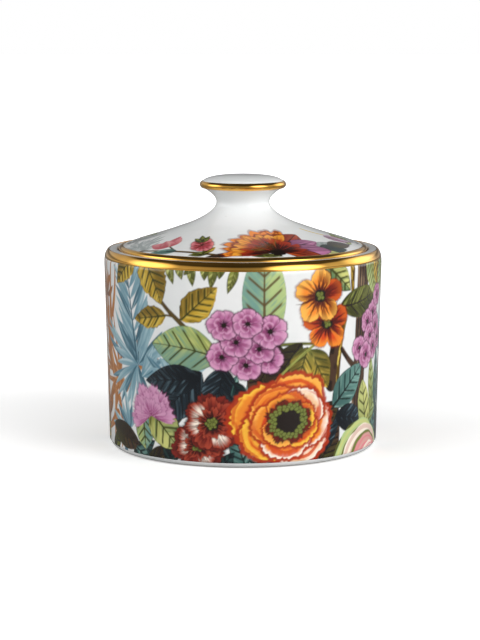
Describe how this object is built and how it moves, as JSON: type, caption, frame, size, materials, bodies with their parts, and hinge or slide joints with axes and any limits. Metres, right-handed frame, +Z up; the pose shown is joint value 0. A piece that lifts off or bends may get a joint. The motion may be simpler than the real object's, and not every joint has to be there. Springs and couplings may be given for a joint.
{
  "type": "lidded sugar bowl",
  "caption": "Round straight-sided porcelain sugar bowl with a lift-off knobbed lid, gold bands and a floral transfer print.",
  "frame": {"origin": "centre of the foot ring, on the plane of the table", "axes": "+Z up along the axis of the bowl and lid; -Y is the front of the print"},
  "size_m": [0.1002, 0.1002, 0.098],
  "materials": {
    "porcelain": "glossy clear glaze over white porcelain",
    "gold": "bright fired gold lustre",
    "wall_print": "multicolour floral transfer under a glossy glaze",
    "lid_print": "multicolour floral transfer under a glossy glaze"
  },
  "bodies": {
    "bowl": {"bowl": "porcelain", "bowl_rim_gilding": "gold", "bowl_transfer": "wall_print"},
    "lid": {"lid": "porcelain", "lid_edge_gilding": "gold", "knob_gilding": "gold", "lid_transfer": "lid_print"}
  },
  "joints": [
    {"name": "lid_lift", "type": "slide", "parent": "bowl", "child": "lid", "axis": [0, 0, 1], "range_m": [0, 0.08]}
  ]
}
